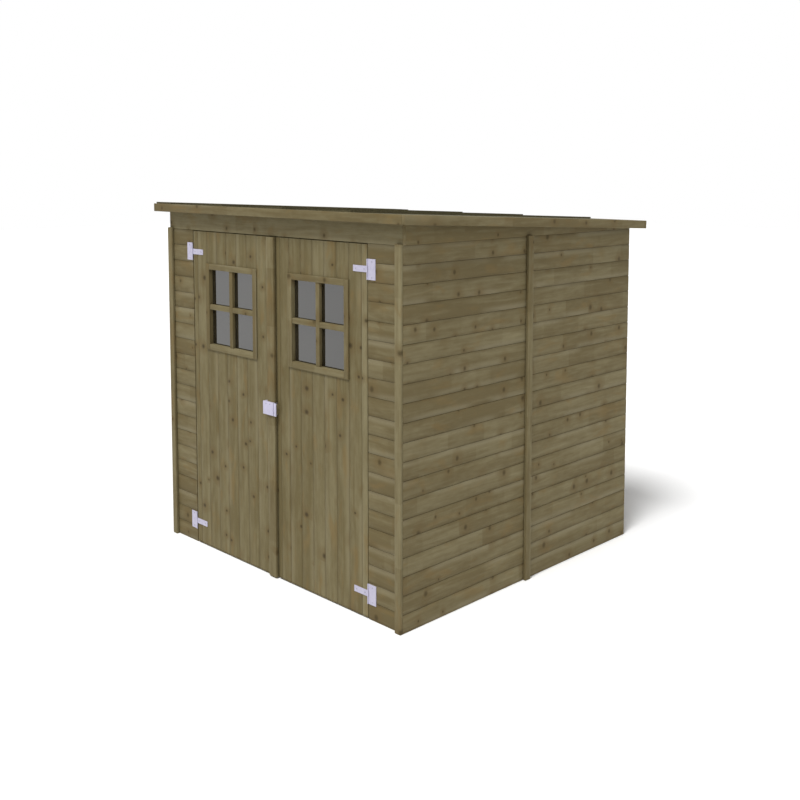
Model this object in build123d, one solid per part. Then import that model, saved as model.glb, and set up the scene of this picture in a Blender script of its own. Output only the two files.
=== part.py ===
from build123d import *
import os

# A garden shed with a lean-to roof, in millimetres. X runs along the front, to the right for someone
# who faces it, Y from front to back, Z up. The origin is on the ground below the middle of the roof.

# Walls: shiplap boards on a timber frame, two panels to each side and to the back
wall_width = 1900
wall_depth = 1838
wall_height = 1800
cladding = 18
board_width = 90
groove_depth = 5
groove_half = 4
stud_depth = 30
stud_width = 45
rail_height = 45
frame_gap = 1

# Roof: falls to the back, with a board of the same height round all four edges
front_overhang = 62
back_overhang = 66
side_overhang = 70
front_rise = 95
back_rise = 4
edge_height = 45
edge_board = 18
purlin_height = 23
purlin_width = 45
purlin_shares = (0.26, 0.5, 0.74)
deck_board = 12
felt = 9
felt_pitch = 510
felt_first = 370
felt_lap = 25
felt_seat = 0.2

# Cover boards
corner_trim_width = 39
joint_trim_width = 42
side_trim_shift = 11
trim_board = 18
trim_top = 6
meeting_trim_width = 60

# Doorway and doors
beside_door = 230
door_gap = 5
door_foot = 6
door_board = 13
door_groove = 3
hinge_strip = 45
least_board = 20
sill_height = 30
stop_lap = 20
ledge_height = 90
ledge_board = 20
ledge_clear = 10
ledge_inset = 20
brace_width = 80

# Windows, one in each door
boards_beside_window = 1
window_top_gap = 180
window_height = 480
window_lip = 4
window_proud = 8
window_bar = 32
window_depth = 36
window_clear = 0.5
glass_sheet = 4
glass_setback = 24
glass_edge = 6
glass_clear = 0.2

# Tee hinges, two to each door
hinge_foot = 126
hinge_head = 121
hinge_thickness = 2.5
hinge_plate_width = 52
hinge_plate_height = 98
strap_length = 100
strap_height = 30
knuckle_radius = 3
knuckle_gap = 0.5
pin_radius = 1.5
pin_clear = 0.1
pivot_proud = 4.5
pivot_inset = 1

# Lock
lock_width = 107
lock_height = 68
lock_proud = 28
lock_level_share = 0.5026
keeper_plate = 5
keeper_lip = 8

# Places that several pieces share
side = wall_width / 2
side_inner = side - cladding
side_frame = side_inner - stud_depth
roof_half = side + side_overhang
front_edge = -(wall_depth + front_overhang + back_overhang) / 2
back_edge = -front_edge
front = front_edge + front_overhang
back = front + wall_depth
front_inner = front + cladding
front_frame = front_inner + stud_depth
back_inner = back - cladding
back_frame = back_inner - stud_depth
middle = (front + back) / 2
fall = (front_rise - back_rise) / wall_depth
deck_low = purlin_height
deck_high = deck_low + deck_board
barge_inner = roof_half - edge_board
fascia_inner = front_edge + edge_board
rows = round(wall_height / board_width)
opening_half = side - beside_door
hinge_edge = opening_half - door_gap
pivot = opening_half - pivot_inset
pivot_y = front - pivot_proud
left_meeting = -meeting_trim_width / 2
right_meeting = meeting_trim_width / 2 + door_gap
door_rows = round((opening_half - hinge_strip) / board_width - 0.5)
door_pitch = (opening_half - hinge_strip) / (door_rows + 0.5)
window_low = (boards_beside_window + 0.5) * door_pitch
window_high = (door_rows - boards_beside_window + 0.5) * door_pitch
window_top = wall_height - window_top_gap
window_bottom = window_top - window_height
cut_low = window_bottom + window_lip
cut_high = window_top - window_lip
pane_low = window_low - window_lip + window_bar
pane_high = window_high + window_lip - window_bar
glass_y = front - window_proud + glass_setback
low_hinge = hinge_foot
high_hinge = wall_height - hinge_head
lock_level = lock_level_share * wall_height

os.makedirs("parts", exist_ok=True)


def save(node, *solids):
    export_step(solids[0] if len(solids) == 1 else Compound(children=list(solids)), f"parts/{node}.step")


def block(x0, x1, y0, y1, z0, z1):
    corner = Pos(min(x0, x1), min(y0, y1), min(z0, z1))
    box = Box(abs(x1 - x0), abs(y1 - y0), abs(z1 - z0), align=(Align.MIN, Align.MIN, Align.MIN))
    return (corner * box).solid()


# Height of the roof's underside over a point at y
def soffit(y):
    return wall_height + front_rise - fall * (y - front)


# A prism along X whose outline is drawn in Y and Z
def along_width(x0, x1, points):
    outline = make_face(Polyline(*points, close=True))
    return extrude(Plane.YZ.offset(min(x0, x1)) * outline, abs(x1 - x0)).solid()


# A board that lies in the roof's slope, low and high being measured up from the roof's underside
def roof_layer(x0, x1, y0, y1, low, high):
    feet = [(y0, soffit(y0) + low), (y1, soffit(y1) + low)]
    heads = [(y1, soffit(y1) + high), (y0, soffit(y0) + high)]
    return along_width(x0, x1, feet + heads)


# A board that stands on a level and is cut to the roof's underside
def under_roof(x0, x1, y0, y1, foot):
    return along_width(x0, x1, [(y0, foot), (y1, foot), (y1, soffit(y1)), (y0, soffit(y0))])


# A panel of shiplap, grooved where its boards meet: outwards is +X, and it runs along Y from 0
def shiplap(length):
    cover = wall_height / rows
    points = [(0, 0)]
    for row in range(rows):
        foot = row * cover
        points.append((cladding - groove_depth, foot))
        points.append((cladding, foot + groove_half))
        points.append((cladding, foot + cover - groove_half))
    points.append((cladding - groove_depth, wall_height))
    points.append((0, wall_height))
    outline = make_face(Polyline(*points, close=True))
    return Pos(0, length, 0) * extrude(Plane.XZ * outline, length).solid()


def wall_panels():
    half = middle - front
    save("right_front_cladding", Pos(side_inner, front, 0) * shiplap(half))
    save("right_rear_cladding", Pos(side_inner, middle, 0) * shiplap(half))
    save("left_front_cladding", Pos(-side_inner, middle, 0) * Rot(0, 0, 180) * shiplap(half))
    save("left_rear_cladding", Pos(-side_inner, back, 0) * Rot(0, 0, 180) * shiplap(half))
    save("back_right_cladding", Pos(side_inner, back_inner, 0) * Rot(0, 0, 90) * shiplap(side_inner))
    save("back_left_cladding", Pos(0, back_inner, 0) * Rot(0, 0, 90) * shiplap(side_inner))
    narrow = side_inner - opening_half
    save("front_left_cladding", Pos(-side_inner, front_inner, 0) * Rot(0, 0, -90) * shiplap(narrow))
    save("front_right_cladding", Pos(opening_half, front_inner, 0) * Rot(0, 0, -90) * shiplap(narrow))


# Rails along the foot or the head of the side and back panels
def wall_rails(node, foot, head):
    rails = [block(s * side_frame, s * side_inner, front_inner, back_inner, foot, head) for s in (-1, 1)]
    reach = side_frame - frame_gap
    save(node, *rails, block(-reach, reach, back_frame, back_inner, foot, head))


# Starts of the studs of two panels side by side between two ends
def stud_starts(low, high):
    centre = (low + high) / 2
    last = high - stud_width
    before = centre - frame_gap / 2 - stud_width
    after = centre + frame_gap / 2
    return [low, (low + before) / 2, before, after, (after + last) / 2, last]


def wall_studs():
    foot = rail_height
    head = wall_height - rail_height
    studs = []
    for y in stud_starts(front_inner, back_inner):
        for s in (-1, 1):
            studs.append(block(s * side_frame, s * side_inner, y, y + stud_width, foot, head))
    reach = side_frame - frame_gap
    for x in stud_starts(-reach, reach):
        studs.append(block(x, x + stud_width, back_frame, back_inner, foot, head))
    save("wall_studs", *studs)


def doorway():
    head = wall_height - rail_height
    posts = []
    for s in (-1, 1):
        for start in (opening_half - stop_lap, side_frame - stud_width):
            x0 = s * start
            posts.append(block(x0, x0 + s * stud_width, front_inner, front_frame, sill_height, head))
    save("front_posts", *posts)
    save("door_sill", block(-side_frame, side_frame, front_inner, front_frame, 0, sill_height))
    save("front_header", under_roof(-side_frame, side_frame, front_inner, front_frame, head))
    save("front_top_board", under_roof(-side, side, front, front_inner, wall_height))


def wedges_and_trims():
    for s, name in ((-1, "left"), (1, "right")):
        save(f"{name}_wedge_board", under_roof(s * side_inner, s * side, front_inner, back, wall_height))
    top = wall_height + trim_top
    corner = side - corner_trim_width
    save(
        "front_corner_trims",
        *[block(s * corner, s * side, front - trim_board, front, 0, top) for s in (-1, 1)],
    )
    half = joint_trim_width / 2
    near = middle - side_trim_shift - half
    far = middle - side_trim_shift + half
    save(
        "side_joint_trims",
        *[block(s * side, s * (side + trim_board), near, far, 0, top) for s in (-1, 1)],
    )
    save("back_joint_trim", block(-half, half, back, back + trim_board, 0, wall_height))


# Purlins run from barge board to barge board. The inner ones hang down between the wedge boards, to bear
# on the side walls' top rails, and their ends are notched over the wedge boards.
def roof_purlins():
    starts = [front, back - purlin_width]
    purlins = [roof_layer(-barge_inner, barge_inner, y, y + purlin_width, 0, purlin_height) for y in starts]
    for share in purlin_shares:
        y0 = front + share * wall_depth - purlin_width / 2
        y1 = y0 + purlin_width
        upper = roof_layer(-barge_inner, barge_inner, y0, y1, 0, purlin_height)
        lower = under_roof(-side_inner, side_inner, y0, y1, wall_height)
        purlins.append((upper + lower).solid())
    save("roof_purlins", *purlins)


def roof_edges():
    save("roof_deck", roof_layer(-barge_inner, barge_inner, fascia_inner, -fascia_inner, deck_low, deck_high))
    save("front_fascia", roof_layer(-barge_inner, barge_inner, front_edge, fascia_inner, 0, edge_height))
    save("back_fascia", roof_layer(-barge_inner, barge_inner, -fascia_inner, back_edge, 0, edge_height))
    for s, name in ((-1, "left"), (1, "right")):
        save(
            f"{name}_barge_board",
            roof_layer(s * barge_inner, s * roof_half, front_edge, back_edge, 0, edge_height),
        )


# A strip of felt runs down the slope. The rises are from the soffit to its underside, at its two edges.
def felt_strip(left, right, left_rise, right_rise):
    base = soffit(fascia_inner)
    points = [
        (left, base + left_rise),
        (right, base + right_rise),
        (right, base + right_rise + felt),
        (left, base + left_rise + felt),
    ]
    outline = make_face(Polyline(*[(x, fascia_inner, z) for x, z in points], close=True))
    length = -2 * fascia_inner
    return Solid.extrude(outline.face(), (0, length, -fall * length))


# Each strip has its left edge on the deck and its right edge on the next strip. The last one lies over the
# left barge board.
def roof_felt():
    strips = []
    right = barge_inner
    right_rise = deck_high
    lapped_rise = deck_high + (felt + felt_seat) * (felt_pitch + felt_lap) / felt_pitch
    step = roof_half - felt_first
    while step > -barge_inner:
        strips.append(felt_strip(step - felt_lap, right, deck_high, right_rise))
        right = step
        right_rise = lapped_rise
        step -= felt_pitch
    strips.append(felt_strip(-roof_half, right, edge_height + felt_seat, lapped_rise))
    save("roof_felt", *strips)


# The joints between a door's boards, measured from the shed's middle line towards the hinges
def board_joints(meeting):
    joints = [(row + 0.5) * door_pitch for row in range(door_rows + 1)]
    return [meeting, *[joint for joint in joints if joint > meeting + least_board], hinge_edge]


# An upright door board with its front edges taken off
def upright_board(x0, x1, z0, z1):
    low, high = sorted((x0, x1))
    rear = front + door_board
    points = [(low, rear), (high, rear), (high, front + door_groove), (high - door_groove, front)]
    points += [(low + door_groove, front), (low, front + door_groove)]
    return extrude(Pos(0, 0, z0) * make_face(Polyline(*points, close=True)), z1 - z0).solid()


def door_boards(node, s, meeting):
    head = wall_height - door_gap
    joints = board_joints(meeting)
    boards = []
    for near, far in zip(joints, joints[1:]):
        x0 = s * (near + frame_gap / 2)
        x1 = s * (far - frame_gap / 2)
        if window_low <= near and far <= window_high:
            boards.append(upright_board(x0, x1, door_foot, cut_low))
            boards.append(upright_board(x0, x1, cut_high, head))
        else:
            boards.append(upright_board(x0, x1, door_foot, head))
    save(node, *boards)


# Three ledges across the back of a door and a brace that rises from the hinges
def door_ledges(name, s, meeting):
    y0 = front + door_board
    y1 = y0 + ledge_board
    near = s * (meeting + ledge_inset)
    far = s * (opening_half - stop_lap - ledge_clear)
    half = ledge_height / 2
    levels = (low_hinge, lock_level, high_hinge)
    save(f"{name}_door_ledges", *[block(near, far, y0, y1, z - half, z + half) for z in levels])
    foot = low_hinge + half
    head = lock_level - half
    points = [(far, foot), (far - s * brace_width, foot), (near, head), (near + s * brace_width, head)]
    outline = make_face(Polyline(*[(x, y0, z) for x, z in points], close=True))
    save(f"{name}_door_brace", Solid.extrude(outline.face(), (0, ledge_board, 0)))


# A window's frame: stiles and rails with a lip over the boards, and a groove that holds the glass
def door_window(name, s):
    lip_y = front - window_proud
    rear = front + window_depth
    groove_y = glass_y - glass_clear
    groove_rear = glass_y + glass_sheet + glass_clear
    sheet = (
        s * (pane_low - glass_edge),
        s * (pane_high + glass_edge),
        window_bottom + window_bar - glass_edge,
        window_top - window_bar + glass_edge,
    )
    groove = block(sheet[0], sheet[1], groove_y, groove_rear, sheet[2], sheet[3])
    body_low = cut_low + window_clear
    body_high = cut_high - window_clear
    stiles = []
    for lip, body, pane in (
        (window_low - window_lip, window_low + window_clear, pane_low),
        (window_high + window_lip, window_high - window_clear, pane_high),
    ):
        cover = block(s * lip, s * pane, lip_y, front, window_bottom, window_top)
        core = block(s * body, s * pane, front, rear, body_low, body_high)
        stiles.append((cover + core - groove).solid())
    save(f"{name}_window_stiles", *stiles)
    rails = []
    for lip, body, pane in (
        (window_bottom, body_low, window_bottom + window_bar),
        (window_top, body_high, window_top - window_bar),
    ):
        cover = block(s * pane_low, s * pane_high, lip_y, front, lip, pane)
        core = block(s * pane_low, s * pane_high, front, rear, body, pane)
        rails.append((cover + core - groove).solid())
    save(f"{name}_window_rails", *rails)
    left, right = sorted(sheet[:2])
    glass = block(
        left + glass_clear, right - glass_clear,
        glass_y, glass_y + glass_sheet,
        sheet[2] + glass_clear, sheet[3] - glass_clear,
    )
    save(f"{name}_window_glass", glass)


def upright_rod(x, radius, z0, z1):
    rod = Cylinder(radius, z1 - z0, align=(Align.CENTER, Align.CENTER, Align.MIN))
    return Pos(x, pivot_y, z0) * rod


# The wall's half of a tee hinge: a plate, an upper and a lower knuckle, and the pin through all three
def hinge_plate(s, level):
    half = hinge_plate_height / 2
    notch = strap_height / 2 + knuckle_gap
    x = s * pivot
    outer = s * (opening_half + hinge_plate_width)
    plate = block(x, outer, front - hinge_thickness, front, level - half, level + half)
    clear = x + s * (knuckle_radius + knuckle_gap)
    plate -= block(x - s * knuckle_radius, clear, pivot_y, front, level - notch, level + notch)
    for z0, z1 in ((level - half, level - notch), (level + notch, level + half)):
        plate += upright_rod(x, knuckle_radius, z0, z1)
    return (plate + upright_rod(x, pin_radius, level - half, level + half)).solid()


# The door's half: a strap with the middle knuckle
def hinge_strap(s, level):
    half = strap_height / 2
    x = s * pivot
    tip = s * (opening_half - strap_length)
    strap = block(tip, x, front - hinge_thickness, front, level - half, level + half)
    strap += upright_rod(x, knuckle_radius, level - half, level + half)
    return (strap - upright_rod(x, pin_radius + pin_clear, level - half, level + half)).solid()


def hinges():
    levels = (low_hinge, high_hinge)
    save("hinge_plates", *[hinge_plate(s, z) for s in (-1, 1) for z in levels])
    for s, name in ((-1, "left"), (1, "right")):
        save(f"{name}_hinge_straps", *[hinge_strap(s, z) for z in levels])


# The strip that covers the doors' meeting line is on the left door, and the lock's case fits over it. The
# keeper on the right door is a plate on a smaller packer.
def meeting_trim_and_lock():
    half = meeting_trim_width / 2
    face = front - trim_board
    trim = block(-half, half, face, front, door_foot, wall_height - door_gap)
    save("door_meeting_trim", trim)
    foot = lock_level - lock_height / 2
    head = lock_level + lock_height / 2
    reach = lock_width / 2
    case = block(-reach, half, front - lock_proud, front, foot, head)
    save("lock_case", (case - trim).solid())
    face = front - lock_proud
    keeper = block(right_meeting, reach, face, face + keeper_plate, foot, head)
    packer = (right_meeting, reach - keeper_lip, face + keeper_plate, front)
    keeper += block(*packer, foot + keeper_lip, head - keeper_lip)
    save("lock_keeper", keeper.solid())


wall_panels()
wall_rails("wall_bottom_rails", 0, rail_height)
wall_rails("wall_top_rails", wall_height - rail_height, wall_height)
wall_studs()
doorway()
wedges_and_trims()
roof_purlins()
roof_edges()
roof_felt()
for sign, hand, meeting_edge in ((-1, "left", left_meeting), (1, "right", right_meeting)):
    door_boards(f"{hand}_door_boards", sign, meeting_edge)
    door_ledges(hand, sign, meeting_edge)
    door_window(hand, sign)
hinges()
meeting_trim_and_lock()
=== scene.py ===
import math
import random

import bmesh
import bpy
from mathutils import Matrix, Vector


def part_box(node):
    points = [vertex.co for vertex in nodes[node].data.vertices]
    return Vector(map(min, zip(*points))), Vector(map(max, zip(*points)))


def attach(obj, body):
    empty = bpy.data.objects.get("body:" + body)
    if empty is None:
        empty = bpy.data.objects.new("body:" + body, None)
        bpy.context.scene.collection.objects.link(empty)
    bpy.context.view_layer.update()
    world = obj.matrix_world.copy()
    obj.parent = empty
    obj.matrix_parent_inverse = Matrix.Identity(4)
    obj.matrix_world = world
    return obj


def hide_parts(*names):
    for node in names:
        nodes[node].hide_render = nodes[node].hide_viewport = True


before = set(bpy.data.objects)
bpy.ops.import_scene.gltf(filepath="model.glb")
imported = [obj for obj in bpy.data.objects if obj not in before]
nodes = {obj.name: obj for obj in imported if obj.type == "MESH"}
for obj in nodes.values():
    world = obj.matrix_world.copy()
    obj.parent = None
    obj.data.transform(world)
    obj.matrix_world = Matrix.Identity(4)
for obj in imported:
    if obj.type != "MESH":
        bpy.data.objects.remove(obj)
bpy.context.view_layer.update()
print("frame loaded:", len(nodes), "nodes")


# helpers for shader nodes

def tint(red, green, blue):
    # a screen colour as the linear colour that sockets take
    screen = [channel / 255 for channel in (red, green, blue)]
    linear = [c / 12.92 if c <= 0.04045 else ((c + 0.055) / 1.055) ** 2.4 for c in screen]
    return (*linear, 1.0)


def addNode(tree, kind, **settings):
    node = tree.nodes.new("ShaderNode" + kind)
    for name, value in settings.items():
        setattr(node, name, value)
    return node


def feed(tree, socket, value):
    if isinstance(value, bpy.types.NodeSocket):
        tree.links.new(value, socket)
    else:
        socket.default_value = value


def addMath(tree, operation, first, second=0.0, clamp=False):
    node = addNode(tree, "Math", operation=operation, use_clamp=clamp)
    feed(tree, node.inputs[0], first)
    feed(tree, node.inputs[1], second)
    return node.outputs[0]


def addScaled(tree, value, factor, offset):
    node = addNode(tree, "Math", operation="MULTIPLY_ADD")
    for socket, entry in zip(node.inputs, (value, factor, offset)):
        feed(tree, socket, entry)
    return node.outputs[0]


def addSwing(tree, wave, weight):
    # a wave from 0 to 1, moved to swing about zero
    return addMath(tree, "MULTIPLY", addMath(tree, "SUBTRACT", wave, 0.5), weight)


def addVectorMath(tree, operation, first, second):
    node = addNode(tree, "VectorMath", operation=operation)
    feed(tree, node.inputs[0], first)
    feed(tree, node.inputs[1], second)
    return node.outputs[0]


def addRamp(tree, value, fromLow, fromHigh, toLow=0.0, toHigh=1.0):
    node = addNode(tree, "MapRange", interpolation_type="SMOOTHSTEP")
    for socket, entry in zip(node.inputs, (value, fromLow, fromHigh, toLow, toHigh)):
        feed(tree, socket, entry)
    return node.outputs[0]


def addMix(tree, factor, first, second):
    node = addNode(tree, "Mix", data_type="RGBA")
    feed(tree, node.inputs[0], factor)
    feed(tree, node.inputs[6], first)
    feed(tree, node.inputs[7], second)
    return node.outputs[2]


def addNoise(tree, vector, scale, detail, distortion=0.0):
    node = addNode(tree, "TexNoise", noise_dimensions="3D")
    feed(tree, node.inputs["Vector"], vector)
    node.inputs["Scale"].default_value = scale
    node.inputs["Detail"].default_value = detail
    node.inputs["Distortion"].default_value = distortion
    return node.outputs[0]


def addBump(tree, shader, height, strength, distance):
    bump = addNode(tree, "Bump")
    bump.inputs["Strength"].default_value = strength
    bump.inputs["Distance"].default_value = distance
    feed(tree, bump.inputs["Height"], height)
    feed(tree, shader.inputs["Normal"], bump.outputs["Normal"])


def splitVector(tree, vector):
    node = addNode(tree, "SeparateXYZ")
    feed(tree, node.inputs[0], vector)
    return node.outputs


def joinVector(tree, x, y, z):
    node = addNode(tree, "CombineXYZ")
    for socket, value in zip(node.inputs, (x, y, z)):
        feed(tree, socket, value)
    return node.outputs[0]


def newMaterial(name):
    material = bpy.data.materials.new(name)
    material.use_nodes = True
    tree = material.node_tree
    return material, tree, tree.nodes["Principled BSDF"]


# timber: grain runs along the first coordinate, the board's width along the second

timberLook = {
    "seedJump": (61.7, 23.9, 37.3),  # how far a board's seed moves its figure
    # scales along, across and through the board, then detail and distortion
    "fine": ((7.0, 260.0, 260.0), 3.0, 0.0),
    "streak": ((2.6, 95.0, 95.0), 3.0, 0.3),
    "broad": ((3.2, 26.0, 26.0), 3.0, 0.8),
    "mottle": ((20.0, 48.0, 48.0), 2.0, 0.0),
    "warm": ((5.0, 13.0, 13.0), 3.0, 0.6),
    "band": ((2.4, 3.0, 3.0), 1.0, 0.0),
    "jointDirtAndShade": ((5.0, 2.0, 2.0), 2.0, 0.0),
    # how much each of them moves the tone from dark to pale
    "fineTone": 0.30,
    "streakTone": 0.58,
    "broadTone": 1.38,
    "mottleTone": 0.50,
    "boardTone": 0.34,
    "toneStart": -0.06,
    "blockLength": 0.30,
    "warmRamp": (0.54, 0.72),
    "warmShare": 0.54,
    "bandRamp": (0.42, 0.06),
    "bandWander": 0.3,
    "bandFlip": 0.5,
    "bandChoice": (0.44, 0.60),
    "bandShare": 0.56,
    "knotCell": (0.13, 0.150),
    "knotWarp": 0.05,
    "knotShare": 0.46,
    "knotRadius": 0.105,
    "knotLeast": 0.55,
    "heartRamp": (1.05, 0.15),
    "heartShare": 0.85,
    "ringRamp": (3.6, 0.8),
    "ringShare": 0.50,
    "grooveRamp": (0.60, 1.0),
    "jointDirtAndShadeRamp": (0.3, 0.7, 0.3, 1.0),
    "roughness": 0.66,
    "roughnessSpan": 0.22,
    "fineHeight": 0.7,
    "knotHeight": 0.5,
    "specular": 0.25,
    "bumpStrength": 0.25,
    "bumpDistance": 0.002,
    "footShadeRamp": (0.020, 0.006),
}


def buildTimberGroup(look):
    group = bpy.data.node_groups.new("timberGrain", "ShaderNodeTree")

    def addSocket(name, kind, flow="INPUT"):
        return group.interface.new_socket(name, in_out=flow, socket_type="NodeSocket" + kind)

    addSocket("Grain", "Vector")
    addSocket("Seed", "Float")
    addSocket("Share", "Float").default_value = 0.5
    addSocket("Shift", "Float")
    addSocket("Groove", "Float")
    addSocket("Patch", "Float")
    for name in ("Dark", "Pale", "Warm", "Band", "Ring", "Knot"):
        addSocket(name, "Color")
    addSocket("Color", "Color", "OUTPUT")
    addSocket("Roughness", "Float", "OUTPUT")
    addSocket("Height", "Float", "OUTPUT")
    given = group.nodes.new("NodeGroupInput").outputs
    result = group.nodes.new("NodeGroupOutput").inputs

    # each board takes its figure from another place in the noise
    seeds = joinVector(group, given["Seed"], given["Seed"], given["Seed"])
    jump = addVectorMath(group, "MULTIPLY", seeds, look["seedJump"])
    place = addVectorMath(group, "ADD", given["Grain"], jump)
    along, across, _ = splitVector(group, place)

    def addFigure(name):
        scale, detail, distortion = look[name]
        scaled = addVectorMath(group, "MULTIPLY", place, scale)
        return addNoise(group, scaled, 1.0, detail, distortion)

    fine = addFigure("fine")
    broad = addFigure("broad")

    # lengths of timber that differ in tone
    blocks = addNode(group, "TexVoronoi", voronoi_dimensions="1D", feature="F1")
    feed(group, blocks.inputs["W"], addMath(group, "DIVIDE", along, look["blockLength"]))
    blocks.inputs["Scale"].default_value = 1.0
    blockRed = splitVector(group, blocks.outputs["Color"])[0]

    # tone from dark to pale, with a level of its own for each board
    tone = addScaled(group, fine, look["fineTone"], look["toneStart"])
    waves = (
        (addFigure("streak"), look["streakTone"]),
        (broad, look["broadTone"]),
        (addFigure("mottle"), look["mottleTone"]),
        (blockRed, given["Patch"]),
    )
    for wave, weight in waves:
        tone = addMath(group, "ADD", tone, addSwing(group, wave, weight))
    level = addNode(group, "TexWhiteNoise", noise_dimensions="1D")
    feed(group, level.inputs["W"], given["Seed"])
    tone = addMath(group, "ADD", tone, addMath(group, "MULTIPLY", level.outputs[0], look["boardTone"]))
    tone = addMath(group, "ADD", tone, given["Shift"], clamp=True)
    color = addMix(group, tone, given["Dark"], given["Pale"])

    # warm patches of heartwood
    patch = addRamp(group, addFigure("warm"), *look["warmRamp"])
    patch = addMath(group, "MULTIPLY", patch, look["warmShare"])
    color = addMix(group, patch, color, given["Warm"])

    # a pale band of sapwood beside one edge of some lengths
    boardGreen = splitVector(group, level.outputs["Color"])[1]
    upper = addMath(group, "GREATER_THAN", boardGreen, look["bandFlip"])
    fromEdge = addMath(group, "ABSOLUTE", addMath(group, "SUBTRACT", given["Share"], upper))
    edge = addMath(group, "ADD", fromEdge, addSwing(group, broad, look["bandWander"]))
    band = addRamp(group, edge, *look["bandRamp"])
    chosen = addRamp(group, addFigure("band"), *look["bandChoice"])
    chosen = addMath(group, "MULTIPLY", chosen, look["bandShare"])
    color = addMix(group, addMath(group, "MULTIPLY", band, chosen), color, given["Band"])

    # knots, with a warm ring round a dark heart
    lengthCell, widthCell = look["knotCell"]
    lengthwise = addMath(group, "DIVIDE", along, lengthCell)
    lengthwise = addMath(group, "ADD", lengthwise, addSwing(group, fine, look["knotWarp"]))
    crosswise = addMath(group, "DIVIDE", across, widthCell)
    cells = addNode(group, "TexVoronoi", voronoi_dimensions="2D", feature="F1")
    feed(group, cells.inputs["Vector"], joinVector(group, lengthwise, crosswise, 0.0))
    cells.inputs["Scale"].default_value = 1.0
    knotRed, knotGreen, _ = splitVector(group, cells.outputs["Color"])
    present = addMath(group, "LESS_THAN", knotRed, look["knotShare"])
    radius = addMath(group, "ADD", knotGreen, look["knotLeast"])
    radius = addMath(group, "MULTIPLY", radius, look["knotRadius"])
    distance = addMath(group, "DIVIDE", cells.outputs["Distance"], radius)
    ring = addMath(group, "MULTIPLY", addRamp(group, distance, *look["ringRamp"]), present)
    heart = addMath(group, "MULTIPLY", addRamp(group, distance, *look["heartRamp"]), present)
    color = addMix(group, addMath(group, "MULTIPLY", ring, look["ringShare"]), color, given["Ring"])
    color = addMix(group, addMath(group, "MULTIPLY", heart, look["heartShare"]), color, given["Knot"])

    # dirt together with painted shade in the joint between two boards, more of it in some places
    offMiddle = addMath(group, "ABSOLUTE", addMath(group, "SUBTRACT", given["Share"], 0.5))
    groove = addRamp(group, addMath(group, "MULTIPLY", offMiddle, 2.0), *look["grooveRamp"])
    jointVariation = addRamp(group, addFigure("jointDirtAndShade"), *look["jointDirtAndShadeRamp"])
    jointDirtAndShade = addMath(group, "MULTIPLY", groove, jointVariation)
    color = addMix(group, addMath(group, "MULTIPLY", jointDirtAndShade, given["Groove"]), color, given["Knot"])
    feed(group, result["Color"], color)

    feed(group, result["Roughness"], addScaled(group, fine, look["roughnessSpan"], look["roughness"]))
    fineHeight = addMath(group, "MULTIPLY", fine, look["fineHeight"])
    knotHeight = addMath(group, "MULTIPLY", heart, look["knotHeight"])
    feed(group, result["Height"], addMath(group, "ADD", fineHeight, knotHeight))
    return group


timberGroup = buildTimberGroup(timberLook)


def makeTimber(name, finish, axis=None):
    # with no axis the boards bring their own grain, else it runs along that object axis
    material, tree, shader = newMaterial(name)
    timber = addNode(tree, "Group", node_tree=timberGroup)
    for socket, colour in finish["colours"].items():
        timber.inputs[socket].default_value = tint(*colour)
    timber.inputs["Groove"].default_value = finish["groove"]
    timber.inputs["Patch"].default_value = finish["patch"]
    if axis is None:
        grain = addNode(tree, "Attribute", attribute_name="grain")
        board = addNode(tree, "Attribute", attribute_name="board")
        seed, share, shift = splitVector(tree, board.outputs["Vector"])
        feed(tree, timber.inputs["Grain"], grain.outputs["Vector"])
        feed(tree, timber.inputs["Seed"], seed)
        feed(tree, timber.inputs["Share"], share)
        feed(tree, timber.inputs["Shift"], shift)
    else:
        place = addNode(tree, "TexCoord").outputs["Object"]
        parts = splitVector(tree, place)
        order = {"x": (0, 2, 1), "y": (1, 2, 0), "z": (2, 0, 1)}[axis]
        feed(tree, timber.inputs["Grain"], joinVector(tree, *[parts[i] for i in order]))
    colour = timber.outputs["Color"]
    if finish["foot"]:
        # painted shade, darker towards the foot of the boards
        height = splitVector(tree, addNode(tree, "TexCoord").outputs["Object"])[2]
        paintedFootShade = addMath(tree, "MULTIPLY", addRamp(tree, height, *timberLook["footShadeRamp"]), finish["foot"])
        colour = addMix(tree, paintedFootShade, colour, tint(*finish["colours"]["Knot"]))
    feed(tree, shader.inputs["Base Color"], colour)
    feed(tree, shader.inputs["Roughness"], timber.outputs["Roughness"])
    shader.inputs["Specular IOR Level"].default_value = timberLook["specular"]
    addBump(tree, shader, timber.outputs["Height"], timberLook["bumpStrength"], timberLook["bumpDistance"])
    return material


wallFinish = {
    "groove": 0.40,
    "patch": 0.38,
    "foot": 0.0,
    "colours": {
        "Dark": (104, 92, 61),
        "Pale": (134, 125, 94),
        "Warm": (120, 100, 61),
        "Band": (144, 136, 109),
        "Ring": (104, 87, 53),
        "Knot": (70, 58, 32),
    },
}
doorFinish = {
    "groove": 0.20,
    "patch": 0.08,
    # foot is the strength of the painted shade along the boards' foot
    "foot": 0.35,
    "colours": {
        "Dark": (104, 93, 61),
        "Pale": (133, 124, 93),
        "Warm": (122, 101, 60),
        "Band": (138, 129, 100),
        "Ring": (103, 86, 52),
        "Knot": (56, 45, 24),
    },
}
sawnFinish = {
    "groove": 0.30,
    "patch": 0.20,
    "foot": 0.0,
    "colours": {
        "Dark": (108, 96, 66),
        "Pale": (136, 126, 96),
        "Warm": (122, 104, 68),
        "Band": (142, 133, 106),
        "Ring": (100, 86, 54),
        "Knot": (66, 53, 31),
    },
}

wallTimber = makeTimber("wallTimber", wallFinish)
doorTimber = makeTimber("doorTimber", doorFinish)
sawnTimber = {axis: makeTimber("sawnTimber" + axis.upper(), sawnFinish, axis) for axis in "xyz"}
print("timber ready")


# roofing felt, coated metal and glazing

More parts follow.
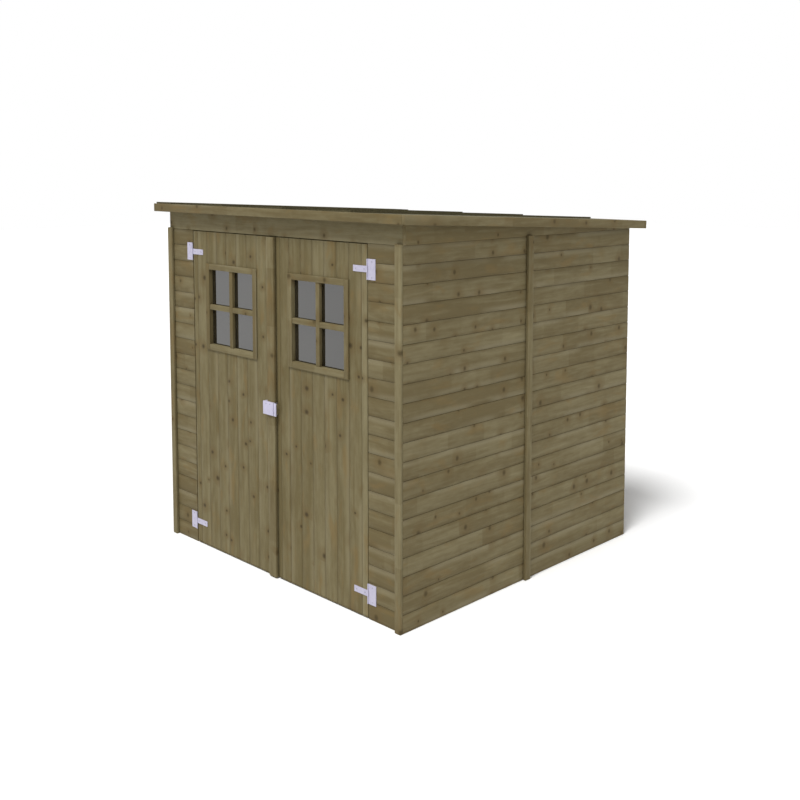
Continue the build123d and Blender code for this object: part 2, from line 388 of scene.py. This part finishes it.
feltLook = {
    "dark": (68, 64, 46),
    "pale": (114, 107, 79),
    "worn": (80, 76, 56),
    "grit": (900.0, 2.0),  # scale and detail
    "granules": (260.0, 2.0),
    "patch": (4.0, 4.0),
    "granuleRamp": (0.36, 0.64),
    "patchRamp": (0.35, 0.75, 0.0, 0.45),
    "roughnessRamp": (0.2, 0.8, 0.82, 0.97),
    "specular": 0.2,
    "bumpStrength": 0.5,
    "bumpDistance": 0.001,
}


def makeFelt(look):
    material, tree, shader = newMaterial("mineralFelt")
    place = addNode(tree, "TexCoord").outputs["Object"]
    grit = addNoise(tree, place, *look["grit"])
    granules = addRamp(tree, addNoise(tree, place, *look["granules"]), *look["granuleRamp"])
    patch = addRamp(tree, addNoise(tree, place, *look["patch"]), *look["patchRamp"])
    colour = addMix(tree, granules, tint(*look["dark"]), tint(*look["pale"]))
    colour = addMix(tree, patch, colour, tint(*look["worn"]))
    feed(tree, shader.inputs["Base Color"], colour)
    feed(tree, shader.inputs["Roughness"], addRamp(tree, grit, *look["roughnessRamp"]))
    shader.inputs["Specular IOR Level"].default_value = look["specular"]
    addBump(tree, shader, grit, look["bumpStrength"], look["bumpDistance"])
    return material


metalLook = {
    "cloud": (60.0, 3.0),  # scale and detail
    "speck": (700.0, 2.0),
    "colourRamp": (0.35, 0.75),
    "roughnessRamp": (0.3, 0.7),
    "roughnessSpan": 0.12,
    "bumpStrength": 0.08,
    "bumpDistance": 0.0005,
}
coats = {
    "coatedHinge": {"pale": (194, 190, 210), "dull": (186, 182, 203), "roughness": 0.42},
    "coatedLock": {"pale": (200, 196, 219), "dull": (193, 189, 212), "roughness": 0.40},
    "coatedScrew": {"pale": (176, 173, 190), "dull": (160, 157, 172), "roughness": 0.35},
}


def makeCoatedMetal(name, look):
    coat = coats[name]
    material, tree, shader = newMaterial(name)
    place = addNode(tree, "TexCoord").outputs["Object"]
    cloud = addNoise(tree, place, *look["cloud"])
    speck = addNoise(tree, place, *look["speck"])
    dullness = addRamp(tree, cloud, *look["colourRamp"])
    smoothest = coat["roughness"]
    roughness = addRamp(tree, cloud, *look["roughnessRamp"], smoothest, smoothest + look["roughnessSpan"])
    colour = addMix(tree, dullness, tint(*coat["pale"]), tint(*coat["dull"]))
    feed(tree, shader.inputs["Base Color"], colour)
    feed(tree, shader.inputs["Roughness"], roughness)
    addBump(tree, shader, speck, look["bumpStrength"], look["bumpDistance"])
    return material


glassLook = {
    # the dark base colours stand in for the unlit inside seen through the glass, as painted shade, with
    # lighter dust
    "clean": (33, 30, 21),
    "dusty": (41, 38, 29),
    "dust": (3.0, 4.0),  # scale and detail
    "dustRamp": (0.3, 0.7),
    "roughness": (0.03, 0.06),
    "transmission": 0.25,
    "index": 1.98,
}


def makeGlazing(look):
    material, tree, shader = newMaterial("glazing")
    place = addNode(tree, "TexCoord").outputs["Object"]
    dust = addNoise(tree, place, *look["dust"])
    dusty = addRamp(tree, dust, *look["dustRamp"])
    colour = addMix(tree, dusty, tint(*look["clean"]), tint(*look["dusty"]))
    feed(tree, shader.inputs["Base Color"], colour)
    feed(tree, shader.inputs["Roughness"], addRamp(tree, dust, *look["dustRamp"], *look["roughness"]))
    shader.inputs["Transmission Weight"].default_value = look["transmission"]
    shader.inputs["IOR"].default_value = look["index"]
    return material


feltFinish = makeFelt(feltLook)
hingeFinish = makeCoatedMetal("coatedHinge", metalLook)
lockFinish = makeCoatedMetal("coatedLock", metalLook)
screwFinish = makeCoatedMetal("coatedScrew", metalLook)
glazingFinish = makeGlazing(glassLook)
print("felt, metal and glazing ready")


# helpers for pieces

boardForm = {
    "chamferSteps": 2,
    "roundingSteps": 3,
    "tolerance": 1e-6,
    "clearShare": (0.2, 0.6),  # start and span that keep a plain board clear of the joint's dirt and painted shade
    "endLength": 0.005,
    "sharpAngle": 40,
}


def newPiece():
    piece = bmesh.new()
    piece.verts.layers.float_vector.new("grain")
    piece.verts.layers.float_vector.new("board")
    return piece


def roundEdges(shape, edges, offset, steps):
    bmesh.ops.bevel(shape, geom=edges, offset=offset, offset_type="OFFSET", segments=steps,
                    profile=0.5, affect="EDGES", clamp_overlap=True, material=-1)


def addBoard(piece, low, high, along, outward, chance=0.0, rounding=0.0, joint=0.0, shift=0.0,
             settle=None, endShadeShift=0.0):
    # along is an axis number, outward an axis number and a direction
    # joint chamfers the long edges of the outer face, and settle moves the corners
    # the end shift is what the ends add to the shift in tone, as painted shade
    depth, facing = outward
    across = 3 - along - depth
    size = high - low
    shape = newPiece()
    stretch = Matrix.LocRotScale((low + high) / 2, None, size)
    corners = bmesh.ops.create_cube(shape, size=1.0, matrix=stretch)["verts"]
    outerFace = high[depth] if facing > 0 else low[depth]
    near = boardForm["tolerance"]
    longEdges = [edge for edge in shape.edges
                 if all(abs(vert.co[depth] - outerFace) < near for vert in edge.verts)
                 and abs(edge.verts[0].co[along] - edge.verts[1].co[along]) > near]
    if settle:
        for vert in corners:
            vert.co = settle(vert.co)
    if joint:
        roundEdges(shape, longEdges, joint, boardForm["chamferSteps"])
    else:
        roundEdges(shape, shape.edges[:], rounding, boardForm["roundingSteps"])
    ends = (low[along] + boardForm["endLength"], high[along] - boardForm["endLength"])
    if endShadeShift:
        # a loop near each end keeps the painted shade of the end off the rest of the board
        axis = Vector((0, 0, 0))
        axis[along] = 1
        for end in ends:
            bmesh.ops.bisect_plane(shape, geom=shape.verts[:] + shape.edges[:] + shape.faces[:],
                                   plane_co=axis * end, plane_no=axis)
    grain = shape.verts.layers.float_vector["grain"]
    board = shape.verts.layers.float_vector["board"]
    clearStart, clearSpan = boardForm["clearShare"]
    for vert in shape.verts:
        width = vert.co[across] - low[across]
        share = width / size[across]
        vert[grain] = (vert.co[along], width, vert.co[depth])
        inside = ends[0] - near < vert.co[along] < ends[1] + near
        vert[board] = (chance, share if joint else clearStart + clearSpan * share,
                       shift if inside else shift + endShadeShift)
    scratch = bpy.data.meshes.new("scratch")
    shape.to_mesh(scratch)
    shape.free()
    piece.from_mesh(scratch)
    bpy.data.meshes.remove(scratch)


def finishPiece(piece, name, body, material, replaced=()):
    mesh = bpy.data.meshes.new(name)
    piece.to_mesh(mesh)
    piece.free()
    mesh.materials.append(material)
    mesh.shade_smooth()
    mesh.set_sharp_from_angle(angle=math.radians(boardForm["sharpAngle"]))
    item = bpy.data.objects.new(name, mesh)
    bpy.context.scene.collection.objects.link(item)
    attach(item, body)
    if replaced:
        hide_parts(*replaced)


def dress(material, *names):
    for name in names:
        for holder in nodes[name].material_slots:
            holder.material = material


# wall cladding, one row of board at a time

cladding = {
    "rows": 20,
    "chamfer": 0.0038,
    "unevenness": 0.0006,
    "frontShift": -0.07,
    "seed": 7,
}

front = (1, -1)
back = (1, 1)
left = (0, -1)
right = (0, 1)
claddingFaces = {
    "front_left_cladding": front,
    "front_right_cladding": front,
    "left_front_cladding": left,
    "left_rear_cladding": left,
    "right_front_cladding": right,
    "right_rear_cladding": right,
    "back_left_cladding": back,
    "back_right_cladding": back,
}

picks = random.Random(cladding["seed"])
for node, outward in claddingFaces.items():
    low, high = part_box(node)
    rowHeight = (high.z - low.z) / cladding["rows"]
    shift = cladding["frontShift"] if outward == front else 0.0
    piece = newPiece()
    for row in range(cladding["rows"]):
        boardLow = Vector((low.x, low.y, low.z + row * rowHeight))
        boardHigh = Vector((high.x, high.y, low.z + (row + 1) * rowHeight))
        sunk = picks.uniform(0, cladding["unevenness"])
        if outward[1] < 0:
            boardLow[outward[0]] += sunk
        else:
            boardHigh[outward[0]] -= sunk
        addBoard(piece, boardLow, boardHigh, 1 - outward[0], outward, picks.random(),
                 joint=cladding["chamfer"], shift=shift)
    finishPiece(piece, node + "_boards", "shed", wallTimber, [node])
print("wall cladding laid")


# boards under the roof, with their tops on the roof's slope

eaves = {
    "rounding": 0.0008,
    # the front board is lightened as painted light against the overhang's shade, the side wedges darkened
    # as painted shadow of the overhang
    "frontShift": 0.20,
    "sideShift": -0.24,
    "endShadeShift": -0.5,
    "seed": 21,
}

bargeLow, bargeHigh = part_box("right_barge_board")
fasciaLow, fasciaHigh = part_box("front_fascia")
bargeSize = bargeHigh - bargeLow
fasciaSize = fasciaHigh - fasciaLow
roofFall = (bargeSize.z - fasciaSize.z) / (bargeSize.y - fasciaSize.y)
edgeHeight = fasciaSize.z - roofFall * fasciaSize.y
topLow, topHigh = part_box("front_top_board")
print("roof falls", round(roofFall, 5), "edge boards", round(edgeHeight, 5))


def toRoof(low):
    def settle(place):
        if place.z > low.z + boardForm["tolerance"]:
            return Vector((place.x, place.y, topHigh.z - roofFall * (place.y - topLow.y)))
        return place
    return settle


picks = random.Random(eaves["seed"])
for node, outward in (("front_top_board", front), ("left_wedge_board", left), ("right_wedge_board", right)):
    low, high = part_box(node)
    piece = newPiece()
    # painted light on the front board, painted shadow on the side wedges
    shift = eaves["frontShift"] if outward == front else eaves["sideShift"]
    # the front board's ends show beside the wedge boards, and are painted darker as shade
    endShadeShift = eaves["endShadeShift"] if outward == front else 0.0
    addBoard(piece, low, high, 1 - outward[0], outward, picks.random(), eaves["rounding"],
             shift=shift, settle=toRoof(low), endShadeShift=endShadeShift)
    finishPiece(piece, node + "_piece", "shed", wallTimber, [node])


# boards round the edge of the roof

roofEdge = {
    "rounding": 0.0025,
    "shift": -0.20,
    "endShadeShift": -0.40,
    "seed": 5,
}


def onSlope(low, high):
    def settle(place):
        raised = place.z > (low.z + high.z) / 2
        foot = low.z + roofFall * (high.y - place.y)
        return Vector((place.x, place.y, foot + (edgeHeight if raised else 0)))
    return settle


picks = random.Random(roofEdge["seed"])
for node, outward in (("front_fascia", front), ("back_fascia", back),
                      ("left_barge_board", left), ("right_barge_board", right)):
    low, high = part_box(node)
    piece = newPiece()
    # the barge boards' ends show beside the fascias, and are painted darker as shade
    endShadeShift = roofEdge["endShadeShift"] if outward in (left, right) else 0.0
    addBoard(piece, low, high, 1 - outward[0], outward, picks.random(), roofEdge["rounding"],
             shift=roofEdge["shift"], settle=onSlope(low, high), endShadeShift=endShadeShift)
    finishPiece(piece, node + "_piece", "shed", wallTimber, [node])
print("roof edges fitted")


# upright trims over the corners and joints

trims = {
    "width": 0.039,
    "rounding": 0.004,
    "leftShift": 0.12,
    # the right corner trim is painted lighter, a painted highlight where its rounded corner catches the
    # light
    "rightHighlightShift": 0.30,
    "sideShift": 0.04,
    "middleShift": 0.05,
    "seed": 3,
}
picks = random.Random(trims["seed"])


def makeTrims(node, body, *strips):
    # each strip is its start and end in x, the way that it faces and its shift in tone
    low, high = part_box(node)
    piece = newPiece()
    for start, end, outward, shift in strips:
        addBoard(piece, Vector((start, low.y, low.z)), Vector((end, high.y, high.z)), 2, outward,
                 picks.random(), trims["rounding"], shift=shift)
    finishPiece(piece, node + "_piece", body, wallTimber, [node])


low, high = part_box("front_corner_trims")
makeTrims("front_corner_trims", "shed",
          (low.x, low.x + trims["width"], front, trims["leftShift"]),
          (high.x - trims["width"], high.x, front, trims["rightHighlightShift"]))
low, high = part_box("side_joint_trims")
makeTrims("side_joint_trims", "shed",
          (low.x, -topHigh.x, left, trims["sideShift"]),
          (topHigh.x, high.x, right, trims["sideShift"]))
for node, outward, body in (("back_joint_trim", back, "shed"), ("door_meeting_trim", front, "left_door")):
    low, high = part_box(node)
    makeTrims(node, body, (low.x, high.x, outward, trims["middleShift"]))
print("trims fitted")


# door leaves of upright boards, cut round the windows

doors = {
    "boardWidth": 0.090,
    "firstJoint": 0.045,
    "leastWidth": 0.030,
    "chamfer": 0.0030,
    "windowLip": 0.004,
    "slack": 0.0001,
    "hingeShift": {"left": 0.0, "right": 0.28},
    "closingStrip": 0.024,
    "closingRounding": 0.001,
    "closingShadowShift": -0.35,
    "seed": 41,
}


def makeDoor(side, direction):
    picks = random.Random(doors["seed"] + direction)
    low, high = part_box(side + "_door_boards")
    windowLow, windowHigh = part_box(side + "_window_stiles")
    lip = Vector((doors["windowLip"], 0, doors["windowLip"]))
    holeLow = windowLow + lip
    holeHigh = windowHigh - lip
    # distances from the middle of the front towards the hinges
    closing, hinged = sorted((direction * low.x, direction * high.x))
    holeStart, holeEnd = sorted((direction * holeLow.x, direction * holeHigh.x))
    joints = [closing]
    if closing > 0:
        joints.append(closing + doors["closingStrip"])
    reach = doors["firstJoint"]
    while reach < hinged:
        if reach > closing + doors["leastWidth"]:
            joints.append(reach)
        reach += doors["boardWidth"]
    joints.append(hinged)
    piece = newPiece()
    for start, end in zip(joints, joints[1:]):
        chance = picks.random()
        shift = doors["hingeShift"][side] if end == hinged else 0.0
        chamfer = doors["chamfer"]
        if start == closing and closing > 0:
            # the narrow strip beside the meeting trim, painted darker as the trim's shadow
            shift = doors["closingShadowShift"]
            chamfer = 0.0
        sides = sorted((direction * start, direction * end))
        inHole = start > holeStart - doors["slack"] and end < holeEnd + doors["slack"]
        spans = [(low.z, holeLow.z), (holeHigh.z, high.z)] if inHole else [(low.z, high.z)]
        for bottom, top in spans:
            addBoard(piece, Vector((sides[0], low.y, bottom)), Vector((sides[1], high.y, top)), 2, front,
                     chance, doors["closingRounding"], joint=chamfer, shift=shift)
    finishPiece(piece, side + "_door_boards_piece", side + "_door", doorTimber,
                [side + "_door_boards"])


makeDoor("left", -1)
makeDoor("right", 1)
print("door boards hung")


# window frames with crossed glazing bars

windows = {
    "lip": 0.004,
    "lipDepth": 0.008,
    "rounding": 0.0025,
    "innerRounding": 0.0025 / 3,
    "stileShift": -0.06,
    "railShift": 0.0,
    "barWidth": 0.028,
    "barFront": 0.004,
    "barRounding": 0.0025,
    "uprightBarShift": -0.2,
    "levelBarShift": 0.0,
    "seed": 13,
}


def makeWindow(side):
    picks = random.Random(windows["seed"] + len(side))
    low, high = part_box(side + "_window_stiles")
    railLow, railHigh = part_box(side + "_window_rails")
    glassLow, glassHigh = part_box(side + "_window_glass")
    member = railLow.x - low.x
    seat = low.y + windows["lipDepth"]
    lip = windows["lip"]
    piece = newPiece()

    def addMember(start, end, along, shift):
        # a wide lip on the face of the door, and a narrower part through it
        chance = picks.random()
        lipHigh = Vector((end.x, seat, end.z))
        addBoard(piece, start, lipHigh, along, front, chance, windows["rounding"], shift=shift)
        inLow = Vector((max(start.x, low.x + lip), seat, max(start.z, low.z + lip)))
        inHigh = Vector((min(end.x, high.x - lip), end.y, min(end.z, high.z - lip)))
        addBoard(piece, inLow, inHigh, along, front, chance, windows["innerRounding"], shift=shift)

    def addBar(start, end, along, shift):
        addBoard(piece, start, end, along, front, picks.random(), windows["barRounding"], shift=shift)

    for start in (low.x, high.x - member):
        addMember(Vector((start, low.y, low.z)), Vector((start + member, high.y, high.z)), 2,
                  windows["stileShift"])
    for start in (low.z, high.z - member):
        addMember(Vector((railLow.x, low.y, start)), Vector((railHigh.x, high.y, start + member)), 0,
                  windows["railShift"])

    # bars stand against both faces of the glass
    half = windows["barWidth"] / 2
    middle = (low + high) / 2
    outerFace = low.y + windows["barFront"]
    innerFace = high.y - windows["barFront"]
    for near, far in ((outerFace, glassLow.y), (glassHigh.y, innerFace)):
        addBar(Vector((middle.x - half, near, low.z + member)),
               Vector((middle.x + half, far, high.z - member)), 2, windows["uprightBarShift"])
        for start, end in ((railLow.x, middle.x - half), (middle.x + half, railHigh.x)):
            addBar(Vector((start, near, middle.z - half)), Vector((end, far, middle.z + half)), 0,
                   windows["levelBarShift"])
    finishPiece(piece, side + "_window_frame", side + "_door", wallTimber,
                [side + "_window_stiles", side + "_window_rails"])


makeWindow("left")
makeWindow("right")
print("window frames and bars fitted")


# lock case, and a keeper plate on a smaller packer of timber, painted dark as the shade under the plate

lock = {
    "rounding": 0.001,
    "keeperPlate": 0.005,
    "keeperLip": 0.008,
    "packerSeed": 0.4,
    "packerShadeShift": -0.6,
    "screwRadius": 0.0035,
    "screwDrop": 0.010,
    "screwSpread": 0.016,
}

caseLow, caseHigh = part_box("lock_case")
piece = newPiece()
addBoard(piece, caseLow, caseHigh, 2, front, rounding=lock["rounding"])
finishPiece(piece, "lock_case_piece", "left_door", lockFinish, ["lock_case"])

low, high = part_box("lock_keeper")
seat = low.y + lock["keeperPlate"]
piece = newPiece()
addBoard(piece, low, Vector((high.x, seat, high.z)), 2, front, rounding=lock["rounding"])
finishPiece(piece, "lock_keeper_plate", "right_door", lockFinish, ["lock_keeper"])
piece = newPiece()
packerLow = Vector((low.x, seat, low.z + lock["keeperLip"]))
packerHigh = Vector((high.x - lock["keeperLip"], high.y, high.z - lock["keeperLip"]))
addBoard(piece, packerLow, packerHigh, 2, front, lock["packerSeed"], lock["rounding"],
         shift=lock["packerShadeShift"])
finishPiece(piece, "lock_keeper_packer", "right_door", doorTimber)


# screws: a low round head with a sunk drive

screws = {
    "radius": 0.0042,
    "rise": 0.0012,
    "sides": 14,
    "taper": 0.8,
    "drive": 0.45,
    "driveDepth": 0.7,
    "faceLimit": -0.9,  # a face that looks to the front has a y normal below this
}


def addScrew(piece, place, radius):
    # the head stands on a face that looks to the front
    rise = screws["rise"]
    turn = Matrix.Translation(place) @ Matrix.Rotation(math.radians(90), 4, "X")
    made = bmesh.ops.create_cone(piece, cap_ends=True, segments=screws["sides"], radius1=radius,
                                 radius2=radius * screws["taper"], depth=rise,
                                 matrix=turn @ Matrix.Translation((0, 0, rise / 2)))
    heads = [face for face in {f for v in made["verts"] for f in v.link_faces}
             if len(face.verts) == screws["sides"] and face.normal.y < screws["faceLimit"]]
    bmesh.ops.inset_region(piece, faces=heads, thickness=radius * screws["drive"],
                           depth=-rise * screws["driveDepth"])


hinges = {
    "levels": (0.126, 1.679),
    "thickness": 0.0025,
    "plateScrews": (-0.036, 0.036),
    "plateInset": 0.024,
    "strapScrews": (0.018, 0.076),
}

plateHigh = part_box("hinge_plates")[1]
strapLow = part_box("right_hinge_straps")[0]
plateFace = plateHigh.y - hinges["thickness"]
plateMiddle = plateHigh.x - hinges["plateInset"]
piece = newPiece()
for level in hinges["levels"]:
    for offset in hinges["plateScrews"]:
        for direction in (-1, 1):
            addScrew(piece, Vector((direction * plateMiddle, plateFace, level + offset)), screws["radius"])
finishPiece(piece, "hinge_plate_screws", "shed", screwFinish)
for side, direction in (("left", -1), ("right", 1)):
    piece = newPiece()
    for level in hinges["levels"]:
        for reach in hinges["strapScrews"]:
            addScrew(piece, Vector((direction * (strapLow.x + reach), plateFace, level)), screws["radius"])
    finishPiece(piece, side + "_strap_screws", side + "_door", screwFinish)
piece = newPiece()
caseMiddle = (caseLow.x + caseHigh.x) / 2
for offset in (-lock["screwSpread"], lock["screwSpread"]):
    addScrew(piece, Vector((caseMiddle + offset, caseLow.y, caseHigh.z - lock["screwDrop"])),
             lock["screwRadius"])
finishPiece(piece, "lock_screws", "left_door", screwFinish)
print("lock and screws fitted")


# finishes of the parts that keep their frame shape

dress(hingeFinish, "hinge_plates", "left_hinge_straps", "right_hinge_straps")
dress(glazingFinish, "left_window_glass", "right_window_glass")
dress(feltFinish, "roof_felt")
dress(sawnTimber["x"], "front_header", "door_sill", "roof_deck", "roof_purlins")
dress(sawnTimber["x"], "left_door_ledges", "right_door_ledges", "left_door_brace", "right_door_brace")
dress(sawnTimber["y"], "wall_bottom_rails", "wall_top_rails")
dress(sawnTimber["z"], "wall_studs", "front_posts")
print("frame parts dressed")


# white floor and backdrop, with soft daylight from the front and a fill from the right

stage = {
    "floorSize": 60.0,
    "floorDrop": 0.0005,
    "floorBounce": 0.9,
    "floorSeen": 1.13,
    "skyStrength": 0.30,
    "skySeen": 1.0,
    "sunStrength": 2.6,
    "sunTowards": (0.10, -0.475, 0.87),
    "sunAngle": 20.0,
    "fillStrength": 0.55,
    "fillTowards": (0.92, 0.18, 0.34),
    "fillAngle": 60.0,
}


def seenRays(tree):
    # rays from the camera, and those that metal and glass send on
    rays = addNode(tree, "LightPath").outputs
    seen = addMath(tree, "MAXIMUM", rays["Is Camera Ray"], rays["Is Glossy Ray"])
    return addMath(tree, "MAXIMUM", seen, rays["Is Transmission Ray"])


floorMesh = bpy.data.meshes.new("floor")
sheet = bmesh.new()
bmesh.ops.create_grid(sheet, x_segments=1, y_segments=1, size=stage["floorSize"] / 2,
                      matrix=Matrix.Translation((0, 0, -stage["floorDrop"])))
sheet.to_mesh(floorMesh)
sheet.free()
floor = bpy.data.objects.new("floor", floorMesh)
bpy.context.scene.collection.objects.link(floor)
paper = bpy.data.materials.new("floorPaper")
paper.use_nodes = True
tree = paper.node_tree
tree.nodes.clear()
matte = addNode(tree, "BsdfDiffuse")
bounceColour = (*[stage["floorBounce"]] * 3, 1.0)
seenColour = (*[stage["floorSeen"]] * 3, 1.0)
feed(tree, matte.inputs["Color"], addMix(tree, seenRays(tree), bounceColour, seenColour))
feed(tree, addNode(tree, "OutputMaterial").inputs["Surface"], matte.outputs[0])
floorMesh.materials.append(paper)

world = bpy.data.worlds.new("backdrop")
bpy.context.scene.world = world
world.use_nodes = True
tree = world.node_tree
sky = tree.nodes["Background"]
sky.inputs["Color"].default_value = (1, 1, 1, 1)
strength = addNode(tree, "Mix", data_type="FLOAT")
feed(tree, strength.inputs[0], seenRays(tree))
feed(tree, strength.inputs[2], stage["skyStrength"])
feed(tree, strength.inputs[3], stage["skySeen"])
feed(tree, sky.inputs["Strength"], strength.outputs[0])


def addSun(name):
    light = bpy.data.lights.new(name, "SUN")
    light.energy = stage[name + "Strength"]
    light.angle = math.radians(stage[name + "Angle"])
    lamp = bpy.data.objects.new(name, light)
    lamp.rotation_mode = "QUATERNION"
    lamp.rotation_quaternion = Vector(stage[name + "Towards"]).to_track_quat("Z", "Y")
    bpy.context.scene.collection.objects.link(lamp)


addSun("sun")
addSun("fill")


# camera, nearly level as in the photograph; the shift leaves the roof in sight from other sides

view = {
    "place": (4.1592, -4.1388, 2.148),
    "turn": 45.097,
    "tilt": 4.947,
    "lens": 45.94,
    "sensor": 36.0,
    "shift": -0.18,
}
lensData = bpy.data.cameras.new("camera")
lensData.lens = view["lens"]
lensData.sensor_width = view["sensor"]
lensData.shift_y = view["shift"]
camera = bpy.data.objects.new("camera", lensData)
camera.location = view["place"]
camera.rotation_euler = (math.radians(90 - view["tilt"]), 0, math.radians(view["turn"]))
bpy.context.scene.collection.objects.link(camera)
bpy.context.scene.camera = camera
bpy.context.scene.view_settings.view_transform = "Standard"
print("floor, light and camera set")

bpy.context.view_layer.update()
